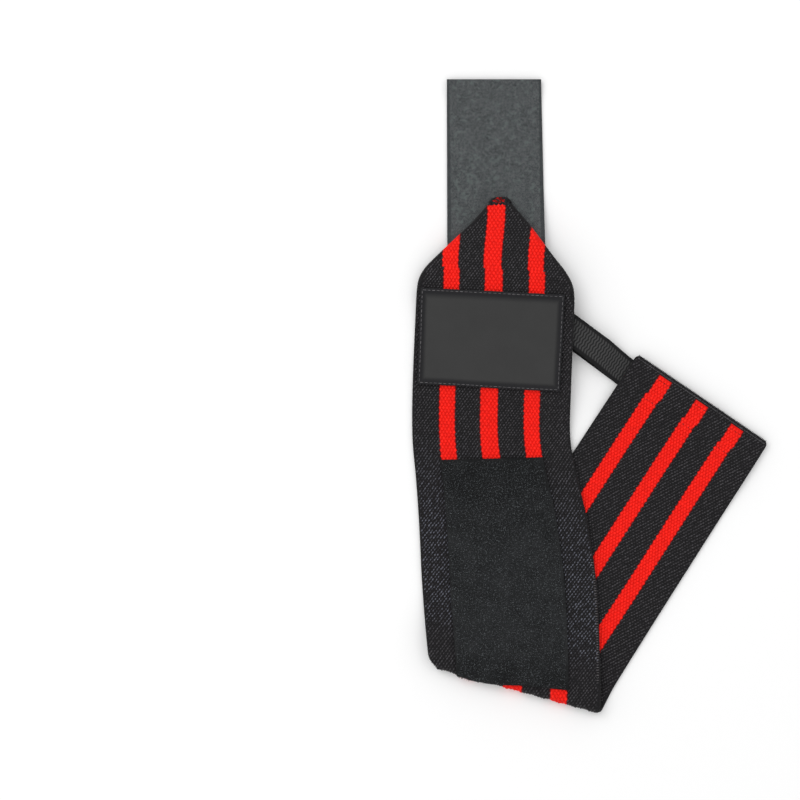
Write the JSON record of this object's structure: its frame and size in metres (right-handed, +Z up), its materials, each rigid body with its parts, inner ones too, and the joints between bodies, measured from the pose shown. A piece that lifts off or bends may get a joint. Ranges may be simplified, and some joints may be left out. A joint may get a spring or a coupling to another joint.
{
  "type": "weightlifting wrist wrap",
  "caption": "Elastic wrist wrap folded once on a slant, with a pointed end, hook tab, loop patch, blank label and thumb loop, lying flat",
  "frame": {"origin": "middle of the footprint, on the table", "axes": "+Y runs up the page from the fold to the hook tab, +X to the right towards the hem, +Z up from the table"},
  "size_m": [0.1804, 0.323, 0.0143],
  "materials": {
    "striped_elastic": "black twill elastic with three woven red stripes, dull",
    "hook_fabric": "slate grey hook tape, fine grain, slight sheen",
    "loop_pile": "near black loop pile, fuzzy and dull",
    "label_leather": "dark grey pressed artificial leather, satin",
    "ribbed_tape": "charcoal ribbed elastic tape, dull"
  },
  "bodies": {
    "root": {"wrap_band": "striped_elastic", "hook_tab": "hook_fabric", "loop_patch": "loop_pile", "label_patch": "label_leather", "thumb_loop": "ribbed_tape"}
  },
  "joints": []
}
